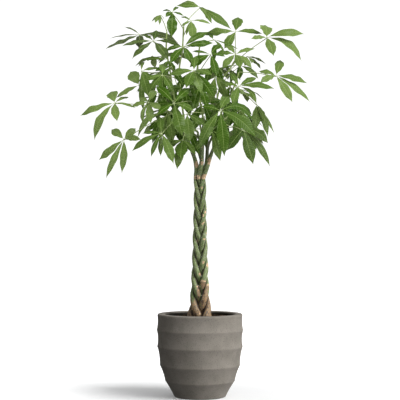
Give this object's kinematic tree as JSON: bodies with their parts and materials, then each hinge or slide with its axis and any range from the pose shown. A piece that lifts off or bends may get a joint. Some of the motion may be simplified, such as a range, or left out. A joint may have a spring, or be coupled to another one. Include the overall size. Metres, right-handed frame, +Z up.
{
  "type": "potted money tree",
  "caption": "Tall braided-trunk money tree with hand-shaped green leaves, standing in a round ridged grey floor pot.",
  "frame": {"origin": "centre of the pot's flat foot, on the surface that it stands on", "axes": "+Z up along the trunk, the front looks along +Y, so -Y faces the viewer of the front, +X to the viewer's right"},
  "size_m": [1.0282, 0.9242, 1.7979],
  "materials": {
    "pot": "matte",
    "soil": "matte",
    "bark": "matte",
    "leaf": "satin"
  },
  "bodies": {
    "root": {"pot": "pot", "soil": "soil", "stem_1": "bark", "stem_2": "bark", "stem_3": "bark", "stem_4": "bark", "stem_5": "bark", "shoot_tall": "leaf", "shoot_tall_left": "leaf", "shoot_low_left": "leaf", "shoot_front": "leaf", "shoot_right": "leaf", "shoot_low_right": "leaf", "shoot_high_right": "leaf", "shoot_back_right": "leaf", "shoot_back_left": "leaf", "shoot_back": "leaf"}
  },
  "joints": []
}
